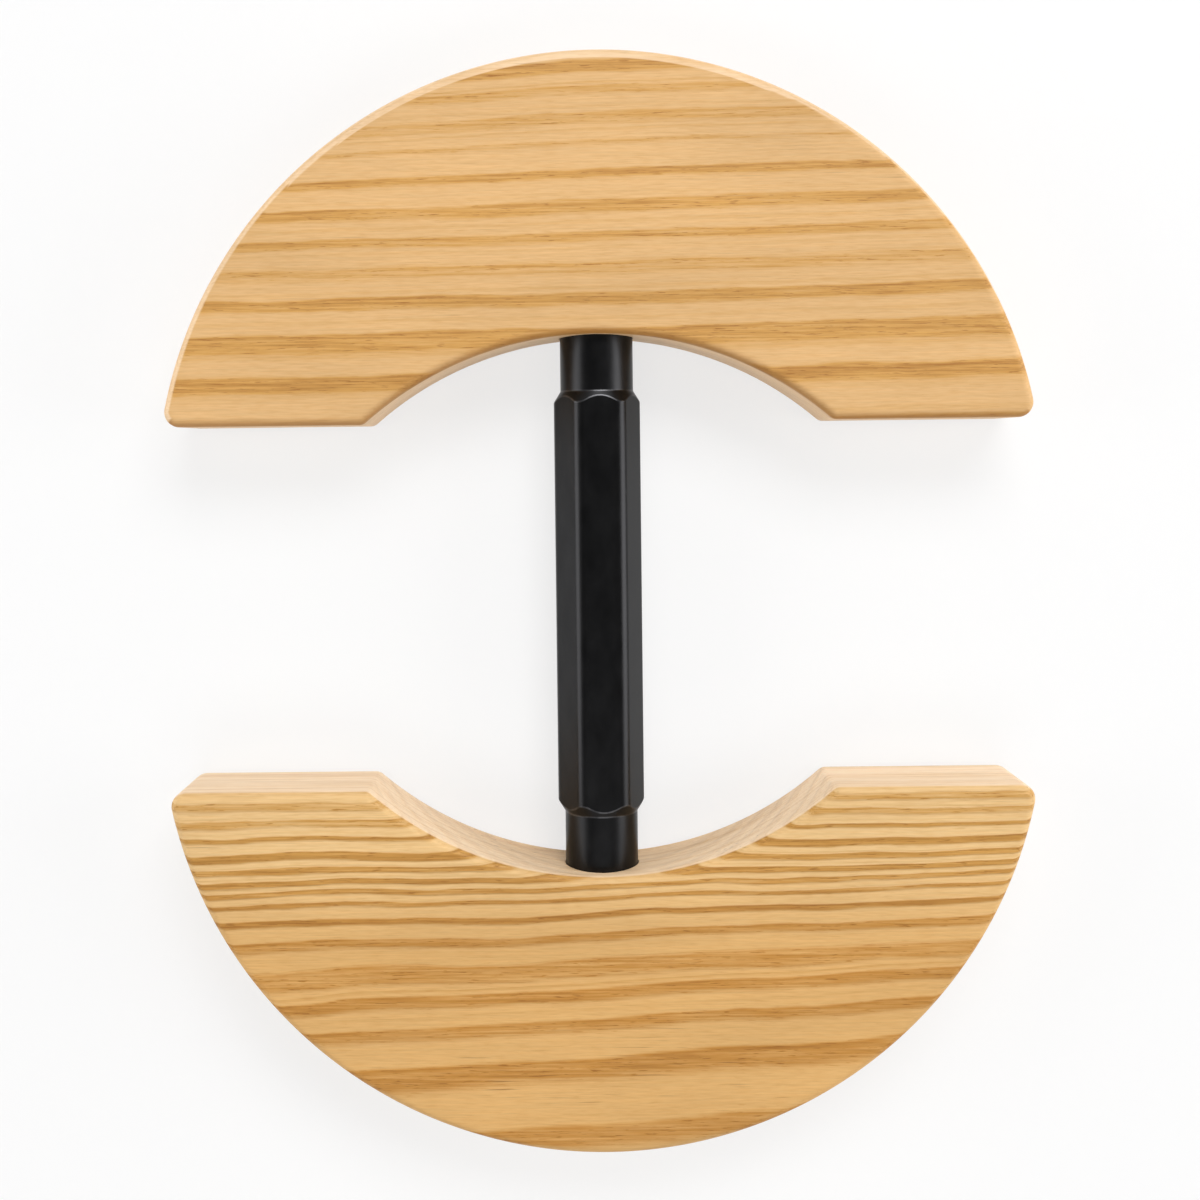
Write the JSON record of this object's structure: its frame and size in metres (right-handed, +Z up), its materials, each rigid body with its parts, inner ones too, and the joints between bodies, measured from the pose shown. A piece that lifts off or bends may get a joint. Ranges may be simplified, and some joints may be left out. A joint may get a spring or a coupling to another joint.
{
  "type": "hat stretcher",
  "caption": "Wooden hat stretcher: half-moon pine blocks pushed apart by a black hexagonal turnbuckle sleeve on threaded rods, to widen a hat's inner band.",
  "frame": {"origin": "On the table that the stretcher lies on, under the middle of the sleeve, closed.", "axes": "+X across the hat, +Y along the screw to the front block, +Z up through the thickness of the boards."},
  "size_m": [0.142, 0.181, 0.018],
  "materials": {
    "pine": "satin",
    "black_metal": "satin",
    "steel": "bright",
    "brass": "satin"
  },
  "bodies": {
    "core": {"front_bush": "steel", "rear_bush": "steel"},
    "sleeve": {"hex_sleeve": "black_metal"},
    "front_half": {"front_block": "pine", "front_insert": "brass", "front_rod": "steel"},
    "rear_half": {"rear_block": "pine", "rear_insert": "brass", "rear_rod": "steel"}
  },
  "joints": [
    {"name": "front_slide", "type": "slide", "parent": "core", "child": "front_half", "axis": [0, 1, 0], "range_m": [0, 0.025]},
    {"name": "rear_slide", "type": "slide", "parent": "core", "child": "rear_half", "axis": [0, -1, 0], "range_m": [0, 0.0251]},
    {"name": "sleeve_turn", "type": "hinge", "parent": "core", "child": "sleeve", "pos_m": [0, 0, 0.009], "axis": [0, 1, 0], "range_deg": [0, 7210]}
  ],
  "couplings": [
    {"joint": "rear_slide", "follows": "front_slide", "ratio": 1},
    {"joint": "sleeve_turn", "follows": "front_slide", "rad_per_m": 5026.5}
  ]
}
